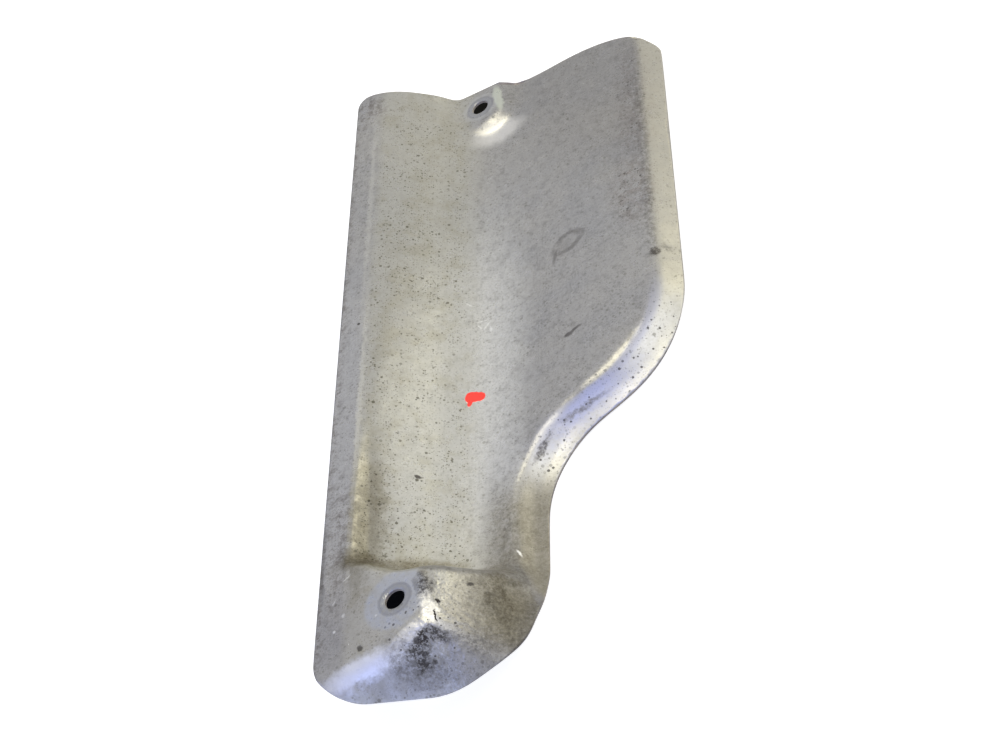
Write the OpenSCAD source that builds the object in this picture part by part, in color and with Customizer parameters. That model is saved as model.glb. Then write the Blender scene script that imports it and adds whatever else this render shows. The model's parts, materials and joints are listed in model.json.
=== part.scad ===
// Steering gear heat shield: one pressed aluminium sheet. A narrow straight flange runs down the left.
// From it the sheet rolls down into a long trough that is open at the top end and closed at the lower
// end by a hump, which carries the lower bolt pad at the level of the flange. A smaller raised pad at
// the open end takes the upper bolt. A lip goes round the free edge, through the S of the narrow neck.
// The origin is the centre of the lower bolt hole on the pad's outer face, +Y runs up the straight edge
// and +Z points out of the trough, so that both bolts go in along -Z.

/* [Sheet] */
// Length of the sheet along its straight edge
sheet_length = 286; // [240:1:340]
// Full width above the shoulder
sheet_width = 118.2; // [108:0.5:132]
// Width at the narrow neck
neck_width = 64.6; // [60:0.2:72]
// Thickness of the sheet
sheet_t = 1; // [0.8:0.1:1.5]

/* [Bolt holes] */
// Diameter of both bolt holes
hole_d = 7; // [6.4:0.1:9]
// Lower hole to the straight edge
hole_edge_x = 28.2; // [26:0.1:32]
// Lower hole to the lower edge
hole_edge_y = 28.3; // [27:0.1:32]
// Upper hole, sideways from the lower one
upper_hole_x = 16; // [12:0.5:20]
// Upper hole to the open edge
upper_hole_edge = 10.5; // [10:0.5:14]
// Depth of the upper pad's face under the lower one's
upper_pad_drop = 20; // [16:0.5:23]

/* [Trough] */
// Width of the flat flange on the straight edge
flange_width = 11; // [8:0.5:14]
// Depth of the trough floor under the flange
trough_depth = 24.5; // [20:0.5:28]
// Fall of the rolled wall, height over width
wall_slope = 0.84; // [0.75:0.01:1]
// Height of the sharp step beside the flange at the closed end
step_height = 3.5; // [2:0.5:5]
// Rise of the crowned floor between wall and lip
floor_crown = 1.2; // [0:0.2:3]

/* [Free edge] */
// Height of the shoulder where the full width ends, over the lower hole
shoulder_y = 120; // [112:0.5:126]
// Radius of the shoulder
shoulder_r = 52; // [44:1:60]
// Radius of the bay under the shoulder
bay_r = 36; // [30:1:44]
// Width of the lip on the straight parts
lip_width = 8.3; // [6:0.1:10]
// Width of the lip in the bay
lip_width_bay = 10; // [9:0.5:13]
// Fall of the lip, height over width
lip_slope = 0.75; // [0.5:0.05:1]

/* [Hump] */
// Lower hole to the right-hand brow of the hump
brow_x = 11; // [9:0.5:14]
// Fall of the two faces of the hump, height over width
hump_slope = 1.05; // [0.9:0.05:1.3]
// Turn of the lower brow from the cross direction, degrees
brow_turn = 21; // [14:1:28]
// Width of the flatter rim round the foot of the hump
rim_width = 10.5; // [8:0.5:12]
// Fall of that rim, height over width
rim_slope = 0.6; // [0.4:0.05:0.8]
// Rise of its inner line over the trough floor
rim_rise = 7; // [4:0.5:9]
// Lower hole to the middle of the trough's round end wall
end_wall_y = 8.5; // [8:0.5:10]
// Radius of that end wall, seen from above
end_wall_r = 31.5; // [30:0.5:36]

/* [Hidden] */
x_left = -hole_edge_x;
x_right = x_left + sheet_width;
x_neck = x_left + neck_width;
y_low = -hole_edge_y;
y_top = y_low + sheet_length;
corner_tl = 5.5;        // corner radii: open edge left and right, lower left
corner_tr = 7;
corner_bl = 15;
droop_r = 30;           // long curve from the open edge down to its right-hand corner
droop_turn = 42;
s_turn = acos(1 - (x_right - x_neck) / (shoulder_r + bay_r));
neck_y = shoulder_y - (shoulder_r + bay_r) * sin(s_turn);
flank_r = 100;          // long curve down the side of the hump
flank_y = 9;
heel_r = 31.5;          // round heel under it
heel_turn = asin((flank_y - y_low - heel_r) / (flank_r - heel_r));
heel_x = x_neck - flank_r + (flank_r - heel_r) * cos(heel_turn);
heel_y = y_low + heel_r;
pad_y = y_top - upper_hole_edge;
pad_r = 8.2;            // flat part of the upper pad, and the run of its fillet
pad_blend = 7.5;
wall_x = x_left + flange_width;
roll_r = 10;            // half widths of the bends: top of the wall at the open end, at the closed end,
roll_r_low = 3.5;       // foot of the wall, lip, side brow and lower brow of the hump
root_r = 11;
lip_r = 2.2;
brow_r = 3.5;
foot_r = 4;
rim_r = 2.5;
ridge_power = 3;        // the two faces of the hump meet in a tighter ridge than a round cone
rim_y = 20;             // where the rim starts to rise, and the run of that rise
rim_run = 28;
rim_back = 2;           // fall of the rim's inner side
lip_y = -6;             // where the lip of the neck starts, and the run over which it grows
lip_run = 24;
step_y = 115;           // where the step beside the flange has faded out, and the run of that fade
step_run = 90;
step_in = 1.5;          // how far inside the flange's line it starts, and its width
step_w = 4;
soft_y = 200;           // under this the bend at the top of the wall gets tighter, and moves in a little
soft_in = 1.3;
soft_run = 110;
crown_x1 = x_right - lip_width;
crown_x0 = crown_x1 - 46;   // foot of the wall at the open end
end_x = 12.5;           // middle of the end wall, and its corner beside the flange
end_corner_y = 18.5;
end_power = 2.5;        // a little squarer than round
end_corner_r = 3;
close_w = 5;            // run of the wall's fall beside the flange, and what it gains over the floor
close_more = 7;
close_x = -16;
close_run = 22;
bay_mid = (shoulder_y + neck_y) / 2 - 7.5;
bay_reach = 52;         // how far the lip stays wider, above and below the middle of the bay
flare_y = 115;          // under this the lip is steep inside and flatter outside
flare_run = 30;
flare_in = 0.35;        // fall added inside, and taken off outside
flare_out = 0.75;

function clamp01(v) = min(1, max(0, v));
function ease(v) = let (c = clamp01(v)) c * c * (3 - 2 * c);
// a bend: 0 before it, slope 1 after it, a parabola of half width r between
function bend(d, r) = d <= -r ? 0 : d >= r ? d : (d + r) * (d + r) / (4 * r);
function arc_x(r, dy) = sqrt(max(0, r * r - dy * dy));

// right-hand outline, moved inward by d, at height y
function edge_x(y, d) =
    y >= shoulder_y ? x_right - d
  : y >= neck_y + (bay_r + d) * sin(s_turn) ? x_right - shoulder_r + arc_x(shoulder_r - d, y - shoulder_y)
  : y >= neck_y ? x_neck + bay_r - arc_x(bay_r + d, y - neck_y)
  : y >= flank_y ? x_neck - d
  : y >= flank_y - (flank_r - d) * sin(heel_turn) ? x_neck - flank_r + arc_x(flank_r - d, y - flank_y)
  : heel_x + arc_x(heel_r - d, y - heel_y);
// distance of a point from that outline: the least of its lines and of the arcs that face the point
function edge_d(x, y) =
    let (p = [x, y], far = sheet_length,
         c1 = [x_right - shoulder_r, shoulder_y], c2 = [x_neck + bay_r, neck_y],
         c3 = [x_neck - flank_r, flank_y], c4 = [heel_x, heel_y],
         a1 = atan2(c1.y - y, x - c1.x), a2 = atan2(y - c2.y, c2.x - x),
         a3 = atan2(c3.y - y, x - c3.x), a4 = atan2(c4.y - y, x - c4.x))
    min(y >= shoulder_y ? x_right - x : far,
        a1 >= 0 && a1 <= s_turn ? shoulder_r - norm(p - c1) : far,
        a2 >= 0 && a2 <= s_turn ? norm(p - c2) - bay_r : far,
        y <= neck_y && y >= flank_y ? x_neck - x : far,
        a3 >= 0 && a3 <= heel_turn ? flank_r - norm(p - c3) : far,
        a4 >= heel_turn && a4 <= 90 ? heel_r - norm(p - c4) : far,
        x <= heel_x && y < heel_y ? y - y_low : far);
// ends of one row of the sheet, with the corner radii
function row_left(y) =
    let (t = y - (y_top - corner_tl), b = (y_low + corner_bl) - y)
    t > 0 ? x_left + corner_tl - arc_x(corner_tl, t)
  : b > 0 ? x_left + corner_bl - arc_x(corner_bl, b) : x_left;
function row_right(y) =
    let (t = y_top - y, step = droop_r * (1 - cos(droop_turn)), ty = step + corner_tr * cos(droop_turn),
         x0 = x_right - corner_tr - (droop_r - corner_tr) * sin(droop_turn))
    t >= ty ? edge_x(y, 0)
  : t >= step ? x_right - corner_tr + arc_x(corner_tr, ty - t) : x0 + arc_x(droop_r, droop_r - t);

// trough: flange, step beside it, rolled wall, crowned floor
function trough(x, y) =
    let (low = ease((soft_y - y) / soft_run), step = step_height * ease((step_y - y) / step_run),
         soft = roll_r + (roll_r_low - roll_r) * low, x0 = wall_x + soft_in - low,
         x1 = x0 + trough_depth / wall_slope,
         roll = wall_slope * (bend(x - x0, soft) - bend(x - x1, root_r)),
         across = clamp01((x - crown_x0) / (crown_x1 - crown_x0)))
    -step * ease((x - wall_x + step_in) / step_w) - roll * (1 - step / trough_depth)
        + floor_crown * pow(sin(180 * across), 2);
// hump: level pad, right-hand face and lower face, down to the level of the floor, and round its foot a
// flatter rim that meets the faces in a shallow valley
function hump(x, y) =
    let (side = bend(x - brow_x, brow_r),
         foot = bend((x - brow_x) * sin(brow_turn) - (y + brow_x) * cos(brow_turn), foot_r),
         fall = hump_slope * pow(pow(side, ridge_power) + pow(foot, ridge_power), 1 / ridge_power),
         face = bend(trough_depth - fall, foot_r) - trough_depth,
         d = rim_width - edge_d(x, y),
         rim = -trough_depth + rim_rise * ease((rim_y - y) / rim_run)
             - rim_slope * max(0, d) + rim_back * min(0, d))
    face + bend(rim - face, rim_r);
// lip: fall near the free edge, steeper inside and flatter outside round the bay and the neck
function lip_w(y) = lip_width + (lip_width_bay - lip_width) * ease(1 - abs(y - bay_mid) / bay_reach);
function lip(x, y) =
    let (d = edge_d(x, y), w = lip_w(y), flare = ease((flare_y - y) / flare_run),
         s = lip_slope + flare_in * flare)
    (s * bend(w - d, lip_r) - flare_out * flare * bend(w / 2 - d, lip_r)) * ease((y - lip_y) / lip_run);
// the whole face: trough above the end wall, hump below it, then the lip and the upper pad
function height(x, y) =
    let (dx = max(0, end_x - x), dy = max(0, end_wall_y + end_wall_r - y),
         round = pow(pow(dx, end_power) + pow(dy, end_power), 1 / end_power) - end_wall_r,
         both = round - bend(round - end_corner_y + y, end_corner_r),
         close = ease(1 + both / (close_w + close_more * ease((x - close_x) / close_run))),
         t = trough(x, y),
         body = t + (hump(x, y) - t) * close - lip(x, y),
         pad = 1 - ease((norm([x - upper_hole_x, min(0, y - pad_y)]) - pad_r) / pad_blend))
    body + (-upper_pad_drop - body) * pad;

// the grid: rows from the open end to the heel, columns from the straight edge to the free edge
function span(a, b, n) = [for (k = [1:n]) a + (b - a) * k / n];
rows = concat([for (t = [0, 0.4, 1.4, 3, 5, 7, 9, 11, 13]) y_top - t], span(y_top - 13, y_top - 28.6, 6),
              span(y_top - 28.6, shoulder_y + 12, 6), span(shoulder_y + 12, neck_y + 13, 25),
              span(neck_y + 13, neck_y - 3, 3), span(neck_y - 3, end_wall_y + 20, 1),
              span(end_wall_y + 20, end_wall_y + 5, 9), span(end_wall_y + 5, y_low + 7, 16),
              [for (a = [27, 19, 11, 4, 0]) y_low + heel_r * (1 - cos(a))]);
left_cols = [0, 3, 6.5, 9, 10.5, 12, 13.5, 15, 17];
mid_cols = concat(span(0, 0.588, 14), span(0.588, 0.92, 4));
lip_cols = [1.6, 1.25, 1, 0.75, 0.5, 0.25, 0];
function row_x(y) =
    let (xl = row_left(y), xr = row_right(y), cut = edge_x(y, 0) - xr, s = min(1, (xr - xl) / 48),
         w = lip_w(y) * s, room = min(1, (y - y_low) / (1.7 * w)),
         lx = [for (c = left_cols) xl + c * s],
         rx = [for (c = lip_cols) edge_x(y, c * w * room) - cut],
         a = lx[len(lx) - 1], b = rx[0])
    concat(lx, [for (c = mid_cols) a + (b - a) * c], rx);
grid = [for (y = rows) [for (x = row_x(y)) [x, y, height(x, y)]]];
nr = len(rows);
nc = len(grid[0]);

// the sheet: the face above, a second face one thickness behind it, and a strip round the cut edge
module sheet() {
    eps = 0.05;
    top = [for (r = grid, p = r) p];
    back = [for (p = top)
        let (gx = (height(p.x + eps, p.y) - height(p.x - eps, p.y)) / (2 * eps),
             gy = (height(p.x, p.y + eps) - height(p.x, p.y - eps)) / (2 * eps))
        p - sheet_t * [-gx, -gy, 1] / norm([gx, gy, 1])];
    n = nr * nc;
    polyhedron(concat(top, back), concat(
        [for (i = [0:nr - 2], j = [0:nc - 2]) each let (k = i * nc + j)
            [[k, k + 1, k + nc + 1], [k, k + nc + 1, k + nc]]],
        [for (i = [0:nr - 2], j = [0:nc - 2]) each let (k = n + i * nc + j)
            [[k, k + nc + 1, k + 1], [k, k + nc, k + nc + 1]]],
        [for (j = [0:nc - 2]) each let (k = j) [[k, k + n, k + n + 1], [k, k + n + 1, k + 1]]],
        [for (j = [0:nc - 2]) each let (k = (nr - 1) * nc + j)
            [[k + 1, k + n + 1, k + n], [k + 1, k + n, k]]],
        [for (i = [0:nr - 2]) each let (k = i * nc) [[k + nc, k + nc + n, k + n], [k + nc, k + n, k]]],
        [for (i = [0:nr - 2]) each let (k = i * nc + nc - 1)
            [[k, k + n, k + nc + n], [k, k + nc + n, k + nc]]]),
        convexity = 6);
}

module bolt_hole(x, y, z) {
    over = 2;
    translate([x, y, z - sheet_t - over]) cylinder(h = sheet_t + 2 * over, d = hole_d, $fn = 48);
}

module heat_shield() {
    color([0.72, 0.71, 0.69]) difference() {
        sheet();
        bolt_hole(0, 0, 0);
        bolt_hole(upper_hole_x, pad_y, -upper_pad_drop);
    }
}

heat_shield();
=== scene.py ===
# %% [markdown]
# # A pressed heat shield, dressed for its portrait
#
# The real part is one piece of 1 mm aluminium sheet. A press drew it into a long trough that is
# open at one end and closed by a hump at the other. It sat for years beside a hot pipe, so the
# metal is dull, speckled with road dirt, stained dark on the hump, and rubbed bright on its ridge
# and its lip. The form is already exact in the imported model, so this lesson is mostly about
# metal.

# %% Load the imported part
import json
import math

import bmesh
import bpy
from mathutils import Matrix, Vector

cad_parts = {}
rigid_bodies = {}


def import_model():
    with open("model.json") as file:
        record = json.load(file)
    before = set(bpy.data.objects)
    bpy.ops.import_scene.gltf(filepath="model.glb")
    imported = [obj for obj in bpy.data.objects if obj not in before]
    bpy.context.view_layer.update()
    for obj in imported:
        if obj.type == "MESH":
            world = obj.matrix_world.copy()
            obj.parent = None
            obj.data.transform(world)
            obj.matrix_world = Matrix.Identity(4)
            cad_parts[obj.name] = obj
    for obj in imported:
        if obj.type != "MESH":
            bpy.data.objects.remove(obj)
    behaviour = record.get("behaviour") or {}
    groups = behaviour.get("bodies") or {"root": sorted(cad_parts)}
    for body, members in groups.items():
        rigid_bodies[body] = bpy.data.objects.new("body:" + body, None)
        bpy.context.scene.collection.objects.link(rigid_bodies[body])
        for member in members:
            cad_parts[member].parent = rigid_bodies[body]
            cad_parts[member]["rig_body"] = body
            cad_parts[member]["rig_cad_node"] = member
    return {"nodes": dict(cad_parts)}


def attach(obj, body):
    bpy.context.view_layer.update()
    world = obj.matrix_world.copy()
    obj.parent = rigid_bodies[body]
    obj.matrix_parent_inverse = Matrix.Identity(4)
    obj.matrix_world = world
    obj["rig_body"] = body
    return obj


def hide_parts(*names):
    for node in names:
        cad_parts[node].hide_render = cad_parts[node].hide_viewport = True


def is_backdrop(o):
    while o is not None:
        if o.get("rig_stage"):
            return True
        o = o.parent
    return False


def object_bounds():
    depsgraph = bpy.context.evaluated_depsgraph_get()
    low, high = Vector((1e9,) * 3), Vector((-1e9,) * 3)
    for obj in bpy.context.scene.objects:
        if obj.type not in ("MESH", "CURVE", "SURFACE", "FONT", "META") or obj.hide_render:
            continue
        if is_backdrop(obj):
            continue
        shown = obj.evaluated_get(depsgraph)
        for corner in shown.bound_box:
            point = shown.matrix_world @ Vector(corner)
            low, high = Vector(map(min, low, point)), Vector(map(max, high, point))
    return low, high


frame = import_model()
cad_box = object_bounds()
MM = 1000
print("the part spans", [round(float(b - a) * MM, 1) for a, b in zip(*cad_box)], "mm")

# %% [markdown]
# ## The camera
#
# The photograph looks down into the trough from its lower right, with the camera rolled so that
# the long straight edge stands nearly upright in the picture. A camera is a point and three
# directions. They are written down as numbers, because that keeps the view the same on every run.
# The lens is known in pixels, so it is turned into millimetres with the width of the picture.

# %% Camera
SENSOR_MM = 36
FOCAL_PIXELS = 1900
PICTURE_PIXELS = 996

bpy.ops.object.camera_add(location=(0.2549, -0.3449, 0.3770))
camera = bpy.context.object
cam_right = Vector((0.8643, -0.0004, -0.5030)).normalized()
cam_back = Vector((0.3617, -0.6945, 0.6220))
cam_back = (cam_back - cam_right * cam_back.dot(cam_right)).normalized()
cam_up = cam_back.cross(cam_right)
turn = Matrix((cam_right, cam_up, cam_back)).transposed()
camera.matrix_world = Matrix.Translation(camera.location) @ turn.to_4x4()
camera.data.sensor_width = SENSOR_MM
camera.data.lens = SENSOR_MM * FOCAL_PIXELS / PICTURE_PIXELS
camera.data.clip_start = 0.01
bpy.context.scene.camera = camera
print("lens", round(camera.data.lens, 1), "mm")

# %% [markdown]
# ## The sheet
#
# The sheet could be drawn afresh from a bent grid, but then its holes and its edge would lie
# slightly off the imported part's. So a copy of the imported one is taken. It is made of flat
# triangles, and a press leaves smooth curves: its loose triangles are welded, and pairs of
# triangles become four-sided faces that follow the drawn shape. Subdivision then rounds the
# bends. The cut edge of the sheet and the rims of the holes are creased first, so that they stay
# as crisp as a punch leaves them.

# %% Copy and weld the sheet
SHARP = math.radians(50)
WELD = 0.00001


def only(piece):
    """Select this piece alone, because an operator acts on all that is selected."""
    bpy.ops.object.select_all(action="DESELECT")
    piece.select_set(True)
    bpy.context.view_layer.objects.active = piece


only(frame["nodes"]["heat_shield"])
bpy.ops.object.duplicate()
sheet = bpy.context.object
sheet.name = "pressed_sheet"
sheet.parent = None
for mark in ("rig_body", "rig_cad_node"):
    if mark in sheet:
        del sheet[mark]
sheet.data.materials.clear()

bpy.ops.object.mode_set(mode="EDIT")
bpy.ops.mesh.select_all(action="SELECT")
bpy.ops.mesh.remove_doubles(threshold=WELD)
bpy.ops.mesh.tris_convert_to_quads(face_threshold=SHARP, shape_threshold=math.pi)
bpy.ops.mesh.select_all(action="DESELECT")
bpy.ops.mesh.select_mode(type="EDGE")
bpy.ops.mesh.edges_select_sharp(sharpness=SHARP)
bpy.ops.transform.edge_crease(value=1)
bpy.ops.object.mode_set(mode="OBJECT")
faces = sheet.data.polygons
squares = sum(len(f.vertices) == 4 for f in faces)
print("welded:", len(faces), "faces,", squares, "of them four-sided")

# %% [markdown]
# The thin strip round the sheet was sheared, and it has its own look: darker, with a brown line
# of dirt. All corners of its faces lie on crisp edges, and the faces look sideways. No other face
# does both. The strip gets the second material slot before the subdivision, which hands it on to
# the smaller faces.

# %% Find the cut edge
FACING_UP = 0.8

work = bmesh.new()
work.from_mesh(sheet.data)
crisp_edges = [e for e in work.edges if e.is_manifold and e.calc_face_angle() > SHARP]
rim = {v for e in crisp_edges for v in e.verts}
for face in work.faces:
    sideways = abs(face.normal.z) < FACING_UP
    face.material_index = int(rim.issuperset(face.verts) and sideways)
print("cut edge:", sum(f.material_index for f in work.faces), "faces of", len(work.faces))
work.to_mesh(sheet.data)
work.free()

# %% Round the bends
SUBDIVISIONS = 2

soft = sheet.modifiers.new("press_curves", "SUBSURF")
soft.levels = soft.render_levels = SUBDIVISIONS
bpy.ops.object.modifier_apply(modifier=soft.name)
bpy.ops.object.shade_smooth_by_angle(angle=SHARP)
print("rounded:", len(sheet.data.polygons), "faces")

# %% [markdown]
# Outward bends are made brighter, partly as metal that hands, tools and gravel rubbed and partly
# as a painted highlight, and dirt stays in the hollow ones. How strongly the sheet bends at a
# point is measured on the mesh: the mean pull between a point's normal and the directions to its
# neighbours, smoothed a few times. The crisp rim is left out, because its right angle would drown
# everything else. A second number is 1 on the trough side and 0 on the back, so that the stains
# that the trough side collected don't come through to the back. Both are kept with the mesh for
# the finish to read.

# %% Measure the bends
SMOOTHINGS = 6

work = bmesh.new()
work.from_mesh(sheet.data)
bend, front, near = [], [], []
for v in work.verts:
    pulls = [e.other_vert(v).co - v.co for e in v.link_edges]
    crisp = any(e.calc_face_angle(0) > SHARP for e in v.link_edges)
    pull = sum(-v.normal.dot(p) / p.length_squared for p in pulls) / len(pulls) / MM
    bend.append(0.0 if crisp else pull)
    front.append(1.0 if v.normal.z > 0 else 0.0)
    near.append([e.other_vert(v).index for e in v.link_edges])
work.free()
for _ in range(SMOOTHINGS):
    bend = [0.5 * b + 0.5 * sum(bend[i] for i in n) / len(n) for b, n in zip(bend, near)]
for title, values in (("bend", bend), ("front", front)):
    kept = sheet.data.attributes.new(title, "FLOAT", "POINT")
    kept.data.foreach_set("value", values)
order = sorted(bend)
two_percent = len(order) // 50
low_bend, high_bend = order[two_percent], order[-two_percent]
print("bend per mm, 2 % to 98 %:", round(low_bend, 3), "to", round(high_bend, 3))

# %% [markdown]
# ## Small tools for the finish
#
# A finish is a net of nodes. These helpers add one node each and return its output, so that a
# finish can be read as a list of steps. Lengths are in millimetres on the sheet: the object's own
# coordinates times a thousand. Most marks are soft ellipses at places that were read off the
# photograph. The rim of each is made ragged by shifting the coordinates with a little noise,
# because no stain has a clean outline.

# %% Node helpers
OBJECT_COORDINATES = 3
MIXED_COLOUR = 2
FACTOR = 2
NOISE_COLOUR = 1
VALUE = 1


def clean_net(owner):
    """Empty the net of a material or of the world; put() fills this net from now on."""
    global net
    owner.use_nodes = True
    net = owner.node_tree
    net.nodes.clear()


def put(kind, out=0, settings=None, **fill):
    """Add a node. Inputs are filled by name, or by place as n0, n1 and so on."""
    made = net.nodes.new(kind)
    for name, value in (settings or {}).items():
        setattr(made, name, value)
    for name, value in fill.items():
        by_place = name[0] == "n" and name[1:].isdigit()
        hole = made.inputs[int(name[1:]) if by_place else name.replace("_", " ")]
        if isinstance(value, bpy.types.NodeSocket):
            net.links.new(value, hole)
        else:
            hole.default_value = value
    return made.outputs[out] if made.outputs else made


def calc(what, a, b=0.0, c=0.0):
    """Sums on plain numbers."""
    return put("ShaderNodeMath", settings={"operation": what}, n0=a, n1=b, n2=c)


def vector(what, a, b, c=None, out=0):
    """Sums on places and directions."""
    more = {} if c is None else {"n2": c}
    return put("ShaderNodeVectorMath", out=out, settings={"operation": what}, n0=a, n1=b, **more)


def ramp(value, start, end, low=0.0, high=1.0):
    """A smooth step from low at start to high at end; start may be the larger one."""
    return put("ShaderNodeMapRange", settings={"interpolation_type": "SMOOTHSTEP"}, Value=value,
               From_Min=start, From_Max=end, To_Min=low, To_Max=high)


def between(value, a, b, c, d):
    """0 up to a, 1 from b to c, 0 again from d."""
    return calc("MULTIPLY", ramp(value, a, b), ramp(value, c, d, 1.0, 0.0))


def times(*shares):
    """Where all of these are."""
    total = shares[0]
    for share in shares[1:]:
        total = calc("MULTIPLY", total, share)
    return total


def most(*shares):
    """Where any of these is."""
    total = shares[0]
    for share in shares[1:]:
        total = calc("MAXIMUM", total, share)
    return total


def tint(under, over, share):
    """A cover: the new colour takes the place of that share of the old one."""
    return put("ShaderNodeMix", out=MIXED_COLOUR, settings={"data_type": "RGBA"},
               n0=share, n6=under, n7=over)


def stain(under, colour, share):
    """A thin film: the colour of the film multiplies what is under it."""
    return put("ShaderNodeMix", out=MIXED_COLOUR,
               settings={"data_type": "RGBA", "blend_type": "MULTIPLY"},
               n0=share, n6=under, n7=colour)


def place_in_mm():
    """The object's own coordinates, in millimetres."""
    return put("ShaderNodeVectorMath", settings={"operation": "SCALE"},
               n0=put("ShaderNodeTexCoord", out=OBJECT_COORDINATES), Scale=float(MM))


metal = bpy.data.materials.new("weathered_aluminium")
clean_net(metal)
mm = place_in_mm()
x_mm, y_mm, z_mm = put("ShaderNodeSeparateXYZ", n0=mm).node.outputs
bend = put("ShaderNodeAttribute", out=FACTOR, settings={"attribute_name": "bend"})
front = put("ShaderNodeAttribute", out=FACTOR, settings={"attribute_name": "front"})


def noise(per_mm, detail=3.0, rough=0.55, where=mm, out=0):
    """Clouds, per_mm of them to a millimetre, from 0 to 1."""
    return put("ShaderNodeTexNoise", out=out, Vector=where, Scale=per_mm, Detail=detail,
               Roughness=rough)


wobble = vector("SUBTRACT", noise(0.35, 4.0, 0.65, out=NOISE_COLOUR), (0.5, 0.5, 0.5))


def away(x, y, rx, ry=None, turn=0.0, ragged=1.5):
    """Distance from x, y, counted so that the ellipse of half widths rx, ry mm lies at 1."""
    ry, angle = ry or rx, math.radians(turn)
    moved = vector("MULTIPLY_ADD", wobble, (2 * ragged, 2 * ragged, 0.0), mm)
    step = vector("SUBTRACT", moved, (x, y, 0.0))
    ahead, aside = math.cos(angle), math.sin(angle)
    along = vector("DOT_PRODUCT", step, (ahead / rx, aside / rx, 0.0), out=VALUE)
    across = vector("DOT_PRODUCT", step, (-aside / ry, ahead / ry, 0.0), out=VALUE)
    return calc("SQRT", calc("MULTIPLY_ADD", along, along, calc("MULTIPLY", across, across)))


def spot(x, y, rx, ry=None, turn=0.0, ragged=1.5, hard=0.5):
    """A filled patch; hard 1 is a sharp rim and hard 0 a soft one."""
    reach = away(x, y, rx, ry, turn, ragged)
    return ramp(reach, 0.5 + hard / 2, 1.55 - hard / 2, 1.0, 0.0)


def loop(x, y, rx, ry, turn, width, ragged=1.0):
    """A closed line; its width is a share of the radius."""
    off = calc("ABSOLUTE", calc("SUBTRACT", away(x, y, rx, ry, turn, ragged), 1.0))
    return ramp(off, width * 0.3, width, 1.0, 0.0)


def specks(per_mm, share, biggest):
    """Round dots, one or none to a cell of the pattern; share is the part of cells without one."""
    cells = put("ShaderNodeTexVoronoi", Vector=mm, Scale=per_mm, Randomness=1.0).node
    drawn = put("ShaderNodeSeparateColor", n0=cells.outputs["Color"])
    radius = calc("MULTIPLY", calc("SUBTRACT", drawn, share), biggest / (1 - share))
    return ramp(calc("SUBTRACT", radius, cells.outputs["Distance"]), 0.0, 0.06)


print("tools ready, with", len(net.nodes), "nodes for places and bends")

# %% [markdown]
# ## The bare sheet
#
# Aluminium that has sat in an engine bay grows a thin grey oxide, so it is metal with a dull skin:
# about a third of the light comes back as from a mirror that is far from clear, the rest as from
# grey paint. Three sizes of noise keep it from looking painted: clouds some 30 mm across, blotches
# of 3 mm, and a grain of 1 mm. The middle of the trough is its palest place. The top right corner
# is darkened as painted shade, and a pale line along the flange's bend is a painted highlight. A
# fourth noise, stretched along the sheet, gives the faint lines that the press drew.

# %% Bare sheet
COOL_OXIDE, WARM_OXIDE = (0.285, 0.285, 0.29, 1), (0.32, 0.315, 0.307, 1)
CORNER_SHADE = (0.80, 0.79, 0.78, 1)
PALE_FLOOR, FLOOR_FOOT = (0.60, 0.60, 0.575, 1), (0.48, 0.48, 0.475, 1)
FLANGE_GREY = (0.37, 0.37, 0.375, 1)
BLOTCHED, GRAINED = (0.72, 0.715, 0.715, 1), (0.78, 0.78, 0.77, 1)
GRAIN_LIGHT, CROWN_HIGHLIGHT = (0.62, 0.62, 0.63, 1), (0.50, 0.495, 0.46, 1)
DRAWN = (0.95, 0.95, 0.95, 1)

cloud = noise(0.03, 3.0, 0.6)
blotch = noise(0.30, 6.0, 0.74)
grain = noise(1.0, 4.0, 0.72)
drawn_lines = noise(1.0, 3.0, 0.6, where=vector("MULTIPLY", mm, (0.9, 0.05, 0.9)))
colour = tint(COOL_OXIDE, WARM_OXIDE, ramp(cloud, 0.35, 0.65))
# The top right corner is darkened: painted shade.
corner_shade = spot(66.0, 236.0, 34.0, 60.0, 30.0, 6.0, 0.0)
colour = stain(colour, CORNER_SHADE, times(corner_shade, 0.9))
bright = spot(9.5, 82.0, 18.0, 86.0, -5.0, 4.0, 0.0)
colour = tint(colour, PALE_FLOOR, times(bright, front, 0.80))
floor_foot = spot(24.5, 48.0, 7.0, 24.0, 0.0, 3.0, 0.0)
colour = tint(colour, FLOOR_FOOT, times(floor_foot, front, 0.8))
flange = spot(-24.0, 92.0, 7.0, 60.0, 0.0, 3.0, 0.0)
colour = tint(colour, FLANGE_GREY, times(flange, 0.75))
colour = stain(colour, BLOTCHED, ramp(blotch, 0.45, 0.70))
colour = stain(colour, GRAINED, ramp(grain, 0.46, 0.72))
colour = tint(colour, GRAIN_LIGHT, times(ramp(grain, 0.42, 0.28), 0.28))
# A pale line along the flange's bend: a painted highlight.
crown_highlight = most(spot(-18.0, 80.0, 0.9, 62.0, 0.0, 2.2, 0.0),
                  times(spot(-19.6, 190.0, 0.9, 60.0, 0.0, 2.2, 0.0), 0.6))
colour = tint(colour, CROWN_HIGHLIGHT, times(crown_highlight, front, 0.5))
colour = stain(colour, DRAWN, ramp(drawn_lines, 0.50, 0.70))
print("bare sheet:", len(net.nodes), "nodes so far")

# %% [markdown]
# ## The lip
#
# The lip along the free edge hangs below the floor, so its height alone finds it. It is painted a
# little yellower than the floor: painted warm light on the faces that turn outwards. Round the bay
# it is worn, and painted paler as a painted highlight and, in the middle, bluish as a painted
# reflection. The crease where the lip leaves the floor is painted darker, a painted shade: a clean
# crease would catch more light than the real one does. A mask painted by hand would do the same,
# but this one follows the form by itself.

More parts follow.
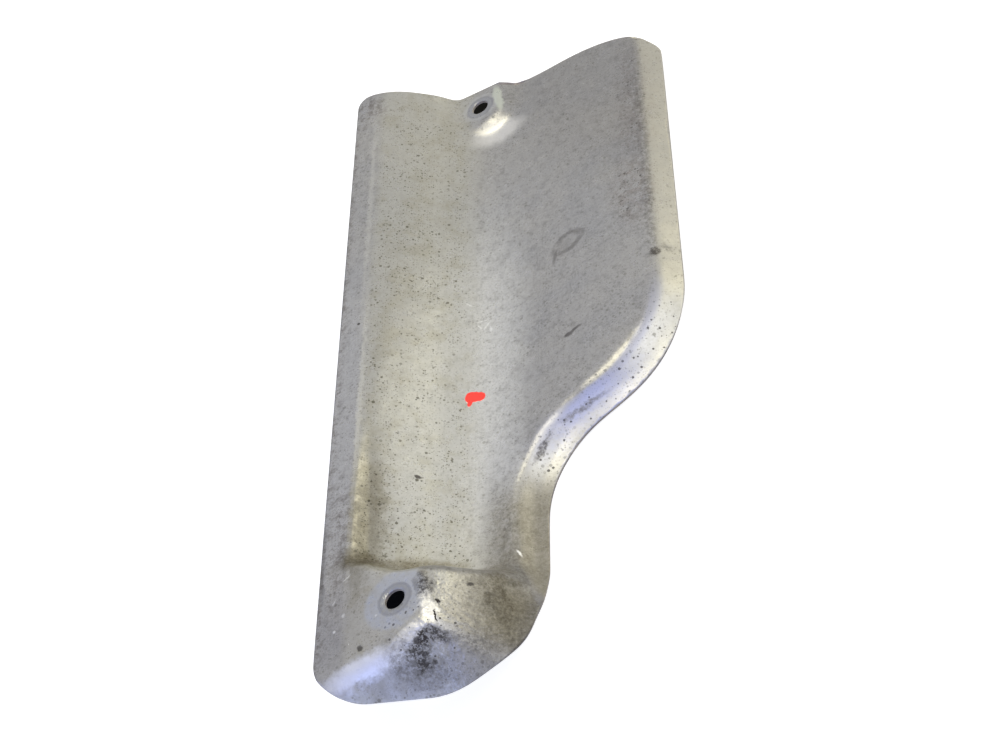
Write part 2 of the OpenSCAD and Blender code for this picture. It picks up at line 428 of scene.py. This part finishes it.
# %% The lip
LIP_START, LIP_FULL = -24.6, -26.2
LIP_WARM_LIGHT, CREASE_SHADE_GREY = (0.415, 0.40, 0.345, 1), (0.29, 0.30, 0.38, 1)
PALE_WORN_HIGHLIGHT, BLUE_LIP_REFLECTION = (0.46, 0.46, 0.45, 1), (0.35, 0.36, 0.44, 1)

lip = times(ramp(z_mm, LIP_START, LIP_FULL), ramp(x_mm, 20.0, 30.0), ramp(y_mm, -2.0, 8.0), front)
# The lip is painted yellower: painted warm light.
colour = tint(colour, LIP_WARM_LIGHT, times(lip, 0.6))
# Round the bay the lip is worn and painted pale: worn metal and a painted highlight.
worn_lip_and_glare = times(lip, most(spot(78.5, 98.5, 12.5, 17.0, -30.0, 3.0, 0.0),
                           spot(60.0, 80.0, 26.0, 9.0, 25.0, 3.0, 0.2),
                           spot(39.0, 64.0, 8.0, 12.0, -28.0, 3.0, 0.2)))
# The blue middle of the bay's lip is a painted reflection.
blue_reflection_spot = spot(56.0, 75.5, 21.0, 11.0, 24.0, 3.0, 0.0)
# The lip's crease is painted darker: painted shade.
crease_shade = times(between(z_mm, -27.2, -25.8, -25.0, -24.4), ramp(x_mm, 28.0, 40.0),
               ramp(y_mm, 128.0, 105.0), front)
colour = tint(colour, tint(PALE_WORN_HIGHLIGHT, BLUE_LIP_REFLECTION, blue_reflection_spot),
              times(worn_lip_and_glare, ramp(grain, 0.36, 0.62, 0.95, 0.60)))
colour = tint(colour, CREASE_SHADE_GREY, times(crease_shade, 0.7))
print("lip:", len(net.nodes), "nodes so far")

# %% [markdown]
# ## Dirt that spray and heat left, and painted warm light
#
# The trough's wall, which faces right, is painted yellower: painted warm light. A yellow-brown
# tint lies thickest over the low end: on the right face of the hump, on the lip of the neck and in
# the two low corners of the trough; it is partly a baked film and partly painted warm light on
# faces that turn to the right. A long patch of it on the wall beside the flange dims a highlight
# there: painted shade. Hollow bends hold more of it, so the measured bend draws those lines by
# itself. Over the film lie specks of tar, and the flange's outer rim has dirt of its own. All of
# it is made from noise and soft spots rather than a painted picture, so it has no pixels and the
# sheet needs no unwrapping.

# %% Film
WALL_WARM_LIGHT, OLIVE = (0.41, 0.405, 0.355, 1), (0.89, 0.875, 0.82, 1)
BROWN, THICK_BROWN = (0.38, 0.345, 0.26, 1), (0.60, 0.57, 0.50, 1)
HOLLOW_BROWN = (0.62, 0.57, 0.50, 1)

wall = between(x_mm, -20.0, -15.0, 8.0, 18.0)
low_end = ramp(calc("ADD", y_mm, calc("MULTIPLY", blotch, 8.0)), 44.0, 66.0, 1.0, 0.0)
right_low = times(low_end, ramp(x_mm, 12.0, 24.0), ramp(y_mm, -26.0, -14.0))
# The wall is painted yellower: painted warm light.
colour = tint(colour, WALL_WARM_LIGHT, times(wall, front, 0.45))
olive = times(wall, front, ramp(noise(0.11, 5.0, 0.7), 0.46, 0.64))
colour = stain(colour, OLIVE, olive)
# Yellow-brown over the low end: partly film, partly painted warm light on right-facing faces.
film_and_warm_light = most(times(right_low, 0.8),
            times(spot(-14.0, 34.0, 4.5, 27.0, 0.0, 5.0, 0.0), 0.62),
            spot(-15.5, 23.0, 5.0, 5.0, 0.0, 2.0, 0.0),
            times(spot(-6.0, 21.5, 16.0, 3.6, 4.0, 2.0, 0.2), 0.95),
            spot(27.0, 8.5, 5.0, 3.0, -10.0, 2.0, 0.1),
            spot(27.0, -1.5, 4.0, 12.0, 12.0, 3.0, 0.0),
            times(spot(35.0, 48.0, 6.0, 6.0, 30.0, 3.0, 0.0), 0.4))
film_and_warm_light = times(film_and_warm_light, front, ramp(noise(0.22, 4.0, 0.7), 0.25, 0.62, 0.7, 1.0))
film_and_warm_light = times(film_and_warm_light, ramp(grain, 0.36, 0.60, 0.75, 1.0))
colour = stain(colour, BROWN, film_and_warm_light)
# The long patch beside the flange dims a highlight there: painted shade.
thick_film_and_shade = times(most(spot(29.0, -5.0, 5.0, 11.0, 8.0, 3.0, 0.0),
                   spot(-16.0, 22.5, 4.0, 4.5, 0.0, 2.0, 0.0),
                   times(spot(-15.2, 44.0, 3.6, 26.0, 0.0, 1.5, 0.0), 0.65)), front)
colour = stain(colour, THICK_BROWN, times(thick_film_and_shade, 0.9))
pad_end = spot(17.0, 250.0, 17.0, 15.0, 0.0, 0.5, 0.3)
neck_foot = times(ramp(x_mm, 16.0, 22.0), ramp(y_mm, 24.0, 32.0), 0.7)
hollow = times(ramp(bend, -0.03, -0.11), front,
               calc("SUBTRACT", 1.0, most(pad_end, neck_foot)))
colour = stain(colour, HOLLOW_BROWN,
               times(hollow, ramp(noise(0.3, 3.0, 0.7), 0.3, 0.6, 0.3, 1.0)))
print("film:", len(net.nodes), "nodes so far")

# %% Specks and rim dirt
TAR, RIM_BROWN = (0.24, 0.23, 0.18, 1), (0.52, 0.47, 0.44, 1)

dusty = most(times(wall, between(y_mm, 0.0, 25.0, 240.0, 262.0)), 0.5)
patchy = ramp(noise(0.09, 3.0, 0.6), 0.34, 0.56, 0.45, 1.0)
tar = times(most(specks(0.42, 0.30, 0.29),
                 times(specks(0.85, 0.25, 0.38), 0.9),
                 times(specks(1.5, 0.2, 0.45), 0.7)),
            dusty, patchy, front)
colour = stain(colour, TAR, times(tar, 0.85))
rim_dirt = most(ramp(x_mm, -24.4, -27.6),
                spot(-26.0, 248.0, 9.0, 9.0, 0.0, 3.0, 0.0),
                times(spot(-23.5, 30.0, 5.0, 24.0, 0.0, 4.0, 0.0), 0.8))
rim_dirt = times(rim_dirt, front, ramp(noise(0.3, 5.0, 0.8), 0.44, 0.62))
colour = stain(colour, RIM_BROWN, times(rim_dirt, 0.8))
print("specks:", len(net.nodes), "nodes so far")

# %% [markdown]
# ## What the bolts left
#
# Each washer pressed a ring into the grey skin: dark grey under the bolt's flange, with a thin
# dark outline, and paler out to the washer's rim. The lower ring is bluish and the upper one
# plain grey. The lower pad round its ring has dulled a little, and beside the upper hole the skin
# stayed pale. Each ring is a spot with a hard rim, drawn from the centre of its hole, so it can't
# sit askew.

# %% Washer rings
LOWER_HOLE, UPPER_HOLE = (0.0, 0.0), (16.0, 247.2)
LOWER_WASHER_R, UPPER_WASHER_R = 10.4, 7.3
FLANGE_R, OUTLINE_R = 5.5, 5.6
DULLED_PAD = (0.88, 0.87, 0.88, 1)
BLUE_RING, GREY_RING = (0.325, 0.355, 0.44, 1), (0.375, 0.38, 0.39, 1)
PRESSED_GREY, OUTLINE_GREY = (0.225, 0.23, 0.25, 1), (0.70, 0.70, 0.72, 1)
PALE_SKIN = (0.50, 0.53, 0.46, 1)

dulled_pad = spot(-9.0, -2.0, 22.0, 17.0, 0.0, 5.0, 0.0)
colour = stain(colour, DULLED_PAD, times(dulled_pad, front))
pressed, under_flange = [], []
for hole, outer in ((LOWER_HOLE, LOWER_WASHER_R), (UPPER_HOLE, UPPER_WASHER_R)):
    pressed.append(times(spot(*hole, outer, ragged=1.1, hard=0.85),
                         ramp(blotch, 0.3, 0.6, 1.0, 0.45)))
    under_flange.append(spot(*hole, FLANGE_R, ragged=0.5, hard=0.8))
colour = tint(colour, BLUE_RING, times(pressed[0], front, 0.80))
colour = tint(colour, GREY_RING, times(pressed[1], front, 0.75))
colour = tint(colour, PRESSED_GREY, times(most(*under_flange), front, 0.78))
outline = most(*(loop(*hole, OUTLINE_R, OUTLINE_R, 0.0, 0.13, 0.6)
                 for hole in (LOWER_HOLE, UPPER_HOLE)))
colour = stain(colour, OUTLINE_GREY, times(outline, front, 0.6))
pale = spot(23.8, 249.2, 1.7, 6.8, 8.0, 1.2, 0.4)
colour = tint(colour, PALE_SKIN, times(pale, front, 0.7))
print("washer rings", [2 * r for r in (LOWER_WASHER_R, UPPER_WASHER_R)], "mm across")

# %% [markdown]
# ## Soot, the rubbed ridge and painted highlights
#
# Soot has settled beside the lower pad and below the hump's ridge, flaky and with specks round it.
# The ridge itself has been knocked bright in places, partly rubbed metal and partly a painted
# highlight. The fillet under the upper pad and a band on the hump's left face are a painted sheen,
# a painted highlight, and left of the ridge the bright colour turns blue, a painted reflection.
# Soot lies over the bright metal, so what is sooty is taken out of what is bright. The measured
# bend would find the ridge alone, but the real one is bright only in places, so spots pick these
# out.

# %% Soot, the rubbed ridge and painted highlights
SHADED, SOOT = (0.56, 0.55, 0.555, 1), (0.07, 0.06, 0.06, 1)
BARE_METAL_HIGHLIGHT, BLUE_REFLECTION = (0.72, 0.71, 0.69, 1), (0.61, 0.64, 0.77, 1)

flaky = ramp(noise(0.75, 4.0, 0.8), 0.38, 0.60, 0.35, 1.0)
soot = most(times(spot(8.6, -15.0, 2.0, 2.4, 30.0, 3.0, 0.2), ramp(flaky, 0.3, 0.9, 0.4, 1.0)),
            times(spot(6.6, -18.2, 3.2, 4.8, -32.0, 4.0, 0.0),
                  ramp(flaky, 0.3, 0.9, 0.35, 1.0), 0.9),
            times(spot(12.4, -14.4, 3.4, 1.8, -20.0, 3.0, 0.0), flaky, 0.9),
            times(spot(4.0, -19.6, 9.0, 6.5, -20.0, 4.0, 0.0), flaky, 0.50),
            times(specks(0.70, 0.45, 0.36), spot(8.0, -13.0, 13.0, 10.0, 20.0, 3.0, 0.0), 0.85),
            times(spot(9.8, 2.2, 2.2, 5.0, 10.0, 3.0, 0.0), flaky, 0.9),
            times(spot(11.0, 9.5, 6.0, 2.0, -10.0, 2.2, 0.2), 0.5),
            times(spot(7.2, 2.6, 0.9, 2.6, 12.0, 1.6, 0.1), 0.40),
            spot(13.6, -3.9, 0.4, 1.0, 10.0, 1.2, 0.5),
            spot(12.9, -9.4, 0.35, 2.2, 8.0, 1.6, 0.4),
            times(spot(-11.6, -13.6, 1.0, 1.1, 0.0, 2.0, 0.2), 0.8))
shaded = spot(-1.0, -24.0, 15.0, 5.0, 4.0, 3.0, 0.0)
colour = stain(colour, SHADED, times(shaded, front, 0.9))
soot = times(soot, front)
colour = stain(colour, SOOT, soot)
# Bright spots on the ridge: partly rubbed metal, partly a painted highlight.
ridge_spots = most(spot(11.2, -5.6, 2.0, 6.2, 12.0, 2.4, 0.3),
                   times(spot(5.0, -13.2, 6.0, 1.8, 22.0, 2.4, 0.1), 0.8))
# Painted highlights on the hump's left face and on the fillet under the upper pad.
painted_sheen = most(times(spot(-11.5, -20.4, 13.0, 3.0, 15.0, 2.4, 0.0), 0.85),
             times(spot(22.5, 231.8, 9.5, 5.0, 14.0, 1.5, 0.0), 0.75))
# Outward bends are brightened too: partly rubbed metal, partly a painted highlight.
rubbed_and_highlit = most(times(ramp(bend, 0.10, 0.22), ramp(x_mm, 40.0, 28.0), 0.35), ridge_spots, painted_sheen)
rubbed_and_highlit = times(rubbed_and_highlit, front, calc("SUBTRACT", 1.0, soot))
# Left of the ridge the bright colour turns blue: a painted reflection.
blue_reflection_share = ramp(x_mm, 4.0, -10.0)
colour = tint(colour, tint(BARE_METAL_HIGHLIGHT, BLUE_REFLECTION, blue_reflection_share), times(rubbed_and_highlit, 0.75))
print("soot and ridge:", len(net.nodes), "nodes so far")

# %% [markdown]
# ## Single marks
#
# The rest are marks that make this sheet this sheet and no other: a darker band and freckles along
# the crease of the right side, an oval drip stain with a tail, a short stroke, a blot on the
# crease, small dark chips, some scratches, chalky dots on the lower end and a dab of red marking
# paint.
# Each is a spot or a loop of its own, because then it is moved by changing two numbers.

# %% Dark marks
FRECKLED, DARK = (0.78, 0.735, 0.715, 1), (0.20, 0.185, 0.18, 1)

# A darker band along the right crease.
crease_dark_band = times(between(calc("ADD", x_mm, calc("MULTIPLY", noise(0.12), 3.0)),
                            80.5, 82.6, 84.0, 86.0),
                    between(y_mm, 128.0, 140.0, 215.0, 250.0),
                    ramp(noise(0.5, 4.0, 0.8), 0.40, 0.62))
freckled = most(spot(76.5, 168.0, 7.0, 17.0, 0.0, 5.0, 0.0),
                times(spot(79.0, 215.0, 6.0, 34.0, 0.0, 4.0, 0.0), 0.8))
freckles = times(most(specks(0.50, 0.30, 0.30), specks(0.95, 0.20, 0.34)), freckled)
colour = stain(colour, FRECKLED,
               times(freckled, front, ramp(noise(0.4, 4.0, 0.75), 0.40, 0.62)))
oval = times(loop(50.2, 153.2, 5.6, 3.9, 27.0, 0.42, 0.9),
             ramp(noise(0.25), 0.30, 0.60, 0.35, 1.0))
tail = most(spot(45.0, 148.8, 0.9, 3.6, -12.0, 1.0, 0.0),
            times(spot(48.4, 152.6, 3.6, 2.4, 27.0, 1.0, 0.0), 0.4))
stroke = most(spot(51.3, 108.4, 3.2, 0.7, 24.0, 0.9, 0.2),
              spot(49.2, 107.6, 1.5, 1.0, 10.0, 0.8, 0.3))
blot = times(most(spot(82.6, 132.4, 1.5, 1.9, 0.0, 3.0, 0.0),
                  times(spot(85.8, 134.3, 1.9, 1.3, -25.0, 3.0, 0.0), 0.5)),
             ramp(grain, 0.40, 0.62, 1.0, 0.5))
dark = most(times(crease_dark_band, 0.42), times(freckles, 0.75), times(oval, 0.50),
            times(tail, 0.50), times(stroke, 0.75), blot,
            times(specks(0.62, 0.50, 0.36), worn_lip_and_glare, 0.85),
            spot(-2.1, 59.2, 1.1, 0.55, -30.0, 0.7, 0.4),
            spot(-20.6, 127.5, 0.6, 0.6, 0.0, 0.3, 0.4),
            times(spot(20.3, 4.1, 0.8, 0.6, 20.0, 1.0, 0.2), 0.8),
            times(spot(37.0, 64.5, 0.9, 5.5, -35.0, 1.4, 0.0), flaky, 0.8),
            times(spot(52.0, 75.8, 9.0, 0.8, 22.0, 1.4, 0.0), flaky, 0.6))
colour = stain(colour, DARK, times(dark, front))
print("dark marks:", len(net.nodes), "nodes so far")

# %% Scratches, chalk and paint
SCRATCHED, CHALK = (0.88, 0.88, 0.86, 1), (0.75, 0.76, 0.78, 1)
RED_PAINT = (1.0, 0.045, 0.030, 1)

scratches = most(times(most(spot(17.5, 128.0, 2.2, 0.30, 62.0, 1.0, 0.0),
                            spot(15.8, 130.4, 1.7, 0.30, 15.0, 1.0, 0.0),
                            spot(18.8, 126.0, 1.6, 0.30, 100.0, 1.0, 0.0),
                            spot(14.9, 127.6, 1.3, 0.30, 120.0, 1.0, 0.0),
                            spot(11.7, 139.3, 1.4, 0.30, -30.0, 1.0, 0.0)), 0.45),
                 spot(28.5, 23.6, 0.32, 1.4, 25.0, 0.5, 0.0),
                 times(spot(-18.2, 14.6, 1.3, 0.25, 35.0, 0.8, 0.0), 0.4),
                 times(spot(-22.2, 7.0, 1.0, 0.25, 60.0, 0.8, 0.0), 0.3))
colour = tint(colour, SCRATCHED, times(scratches, front, 0.8))
chalk = times(specks(0.33, 0.72, 0.30), spot(-16.0, -14.0, 12.0, 14.0, 0.0, 3.0, 0.0), front)
colour = tint(colour, CHALK, times(chalk, 0.7))
paint = times(front, most(spot(12.2, 94.6, 1.7, 2.5, -10.0, 0.4, 0.9),
                          spot(13.5, 94.7, 2.0, 2.2, -10.0, 0.4, 0.9),
                          spot(15.0, 94.6, 1.9, 1.95, -10.0, 0.4, 0.9),
                          spot(11.9, 92.0, 0.7, 1.6, -12.0, 0.3, 0.9)))
colour = tint(colour, RED_PAINT, paint)
print("all marks:", len(net.nodes), "nodes so far")

# %% [markdown]
# ## How it shines
#
# Dirt takes the shine away and rubbing brings it back, so the same masks drive the gloss. The
# crease of the lip is rougher and less like metal than the rest, so that it doesn't glare. The
# surface is not quite flat either: the press left shallow waves, the hump is dimpled, and the
# oxide has a fine grain. Waves of a tenth of a millimetre are enough to break up a highlight, and
# at that depth a bump in the finish does what thousands of extra faces would.

# %% Gloss
CLEAN_ROUGH, DIRTY_ROUGH = 0.29, 0.60
CLEAN_METAL, DIRTY_METAL, RUBBED_METAL = 0.32, 0.08, 0.55
CLEAN_SPECULAR, DIRTY_SPECULAR = 0.5, 0.2

dirty = most(times(film_and_warm_light, 0.7), times(hollow, 0.6), soot, times(dark, front), tar)
gloss = ramp(dirty, 0.0, 1.0, CLEAN_ROUGH, DIRTY_ROUGH)
gloss = calc("ADD", gloss, times(calc("SUBTRACT", blotch, 0.5), 0.16))
gloss = calc("ADD", gloss, times(most(rubbed_and_highlit, worn_lip_and_glare), 0.10))
gloss = calc("ADD", gloss, times(ramp(bend, 0.03, 0.12), ramp(x_mm, 28.0, 40.0), 0.22))
share_metal = most(ramp(dirty, 0.0, 1.0, CLEAN_METAL, DIRTY_METAL),
                   times(most(rubbed_and_highlit, times(worn_lip_and_glare, 0.85)), RUBBED_METAL))
share_metal = times(share_metal, calc("SUBTRACT", 1.0, paint),
                    ramp(times(bend, ramp(x_mm, 28.0, 40.0)), 0.03, 0.12, 1.0, 0.3))
print("gloss:", len(net.nodes), "nodes so far")

# %% Relief
DIMPLE_MM, WAVE_MM, GRAIN_MM = 0.30, 0.45, 0.022
PAINT_MM, PRESSED_MM = 0.06, 0.05

dimples = times(noise(0.55, 2.0, 0.5), spot(12.0, -8.0, 16.0, 16.0, 0.0, 3.0, 0.0), DIMPLE_MM)
waves = calc("ADD", times(noise(0.06, 2.0, 0.5), WAVE_MM), dimples)
relief = calc("ADD", waves, calc("ADD", times(grain, GRAIN_MM), times(paint, PAINT_MM)))
relief = calc("SUBTRACT", relief, times(most(*under_flange), PRESSED_MM))
rough_skin = put("ShaderNodeBump", Strength=1.0, Distance=1 / MM, Height=relief)
shade = put("ShaderNodeBsdfPrincipled", Base_Color=colour, Metallic=share_metal, Roughness=gloss,
            Specular_IOR_Level=ramp(dirty, 0.0, 1.0, CLEAN_SPECULAR, DIRTY_SPECULAR),
            Normal=rough_skin)
put("ShaderNodeOutputMaterial", n0=shade)
print(metal.name, "has", len(net.nodes), "nodes")

# %% [markdown]
# The sheared strip gets its own, simpler finish: dull, darker, with dirt sitting along it. It is
# only 1 mm wide, so two noises are enough.

# %% Cut edge
EDGE_DARK, EDGE_BROWN = (0.17, 0.155, 0.16, 1), (0.32, 0.285, 0.25, 1)
EDGE_METAL = 0.3

sheared = bpy.data.materials.new("sheared_edge")
clean_net(sheared)
edge_mm = place_in_mm()
strip = tint(EDGE_DARK, EDGE_BROWN, ramp(noise(0.12, 4.0, 0.7, edge_mm), 0.4, 0.65))
edge_shade = put("ShaderNodeBsdfPrincipled", Base_Color=strip, Metallic=EDGE_METAL,
                 Roughness=ramp(noise(0.8, 3.0, 0.6, edge_mm), 0.3, 0.7, 0.45, 0.7))
put("ShaderNodeOutputMaterial", n0=edge_shade)
for finish in (metal, sheared):
    sheet.data.materials.append(finish)
print("faces in the cut edge:", sum(f.material_index for f in sheet.data.polygons))

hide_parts("heat_shield")
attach(sheet, "root")

# %% [markdown]
# ## Stage and light
#
# The floor is white to the eye and in reflections, and still takes the shadow. Behind each bolt
# hole the photograph shows only darkness, so two small round patches of floor, where the camera
# looks through the holes, are painted dark: a painted shadow in place of the shade under the part.

# %% Floor
FLOOR_SPAN, FLOOR_GAP = 8, 0.0005
PAINTED_SHADOW_PLACES = ((-0.0219, 0.0296), (0.0086, 0.2656))
DARK_RADIUS, FADED_RADIUS = 0.0045, 0.0070
GLOW, PAPER, SHADOW_BLACK = 0.86, (0.45, 0.45, 0.45, 1), (0.01, 0.01, 0.01, 1)

bpy.ops.object.select_all(action="DESELECT")
bpy.ops.mesh.primitive_plane_add(size=FLOOR_SPAN, location=(0, 0, cad_box[0].z - FLOOR_GAP))
floor = bpy.context.object
floor.name = "floor"
floor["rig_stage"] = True
paper = bpy.data.materials.new("white_floor")
clean_net(paper)


def seen():
    """1 for the camera, for mirrors and for what is seen through glass; 0 for other light."""
    path = put("ShaderNodeLightPath").node
    mirror = calc("MAXIMUM", path.outputs["Is Glossy Ray"], path.outputs["Is Transmission Ray"])
    return calc("MAXIMUM", path.outputs["Is Camera Ray"], mirror)


place = put("ShaderNodeTexCoord", out=OBJECT_COORDINATES)
# Two dark patches where the camera looks through the holes: a painted shadow.
painted_hole_shadow = most(*(ramp(vector("DISTANCE", place, (x, y, 0.0), out=VALUE),
                   DARK_RADIUS, FADED_RADIUS, 1.0, 0.0)
              for x, y in PAINTED_SHADOW_PLACES))
glow = put("ShaderNodeEmission", Color=(1, 1, 1, 1),
           Strength=times(seen(), calc("SUBTRACT", 1.0, painted_hole_shadow), GLOW))
card = put("ShaderNodeBsdfDiffuse", Color=tint(PAPER, SHADOW_BLACK, painted_hole_shadow))
put("ShaderNodeOutputMaterial", n0=put("ShaderNodeAddShader", n0=glow, n1=card))
floor.data.materials.append(paper)
print("floor", round(FLOOR_GAP * MM, 1), "mm below the sheet")

# %% Sky
SKY_GREY, SKY_WHITE = (0.20, 0.20, 0.21, 1), (1, 1, 1, 1)

world = bpy.data.worlds.new("studio")
bpy.context.scene.world = world
clean_net(world)
air = put("ShaderNodeMix", out=MIXED_COLOUR, settings={"data_type": "RGBA"},
          n0=seen(), n6=SKY_GREY, n7=SKY_WHITE)
put("ShaderNodeOutputWorld", n0=put("ShaderNodeBackground", Color=air, Strength=1.0))
print("sky:", len(net.nodes), "nodes")

# %% [markdown]
# The metal of the photograph stands between several windows: warm light comes from above and from
# the right, white from the right, and bluish light from the front and the left. Six broad soft
# lamps repeat that. Their directions were found by mirroring the line of sight on the bends that
# shine in the photograph.

# %% Lamps
TARGET = Vector((0.03, 0.11, -0.012))
REACH, LAMP_SPAN = 1.2, 0.55


def lamp(name, towards, watts, colour):
    """A square lamp that far from the part in that direction, turned to face it."""
    place = TARGET + Vector(towards).normalized() * REACH
    bpy.ops.object.light_add(type="AREA", location=place)
    made = bpy.context.object
    made.name = name
    made.data.size = LAMP_SPAN
    made.data.energy = watts
    made.data.color = colour
    made.rotation_euler = (place - TARGET).to_track_quat("Z", "Y").to_euler()
    print(name, watts, "W")


lamp("warm_side", (0.76, 0.55, 0.35), 4.2, (1.0, 0.93, 0.62))
lamp("warm_top", (0.20, 0.15, 0.97), 7.0, (1.0, 0.93, 0.66))
lamp("white_right", (0.75, 0.00, 0.66), 2.9, (1.0, 1.0, 1.0))
lamp("cool_front", (-0.17, -0.83, 0.52), 4.8, (0.42, 0.53, 1.0))
lamp("cool_high", (0.22, -0.48, 0.85), 2.4, (0.30, 0.40, 1.0))
lamp("cool_left", (-0.80, -0.10, 0.60), 1.3, (0.55, 0.62, 1.0))

# %% [markdown]
# ## Last settings
#
# Colours are shown plainly, and the box of the dressed part is kept beside the box of the packed
# one.

# %% Finish
bpy.context.scene.view_settings.view_transform = "Standard"
new_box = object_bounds()
low, high = ([round(v * MM, 2) for v in corner] for corner in new_box)
print("box low", low, "high", high)
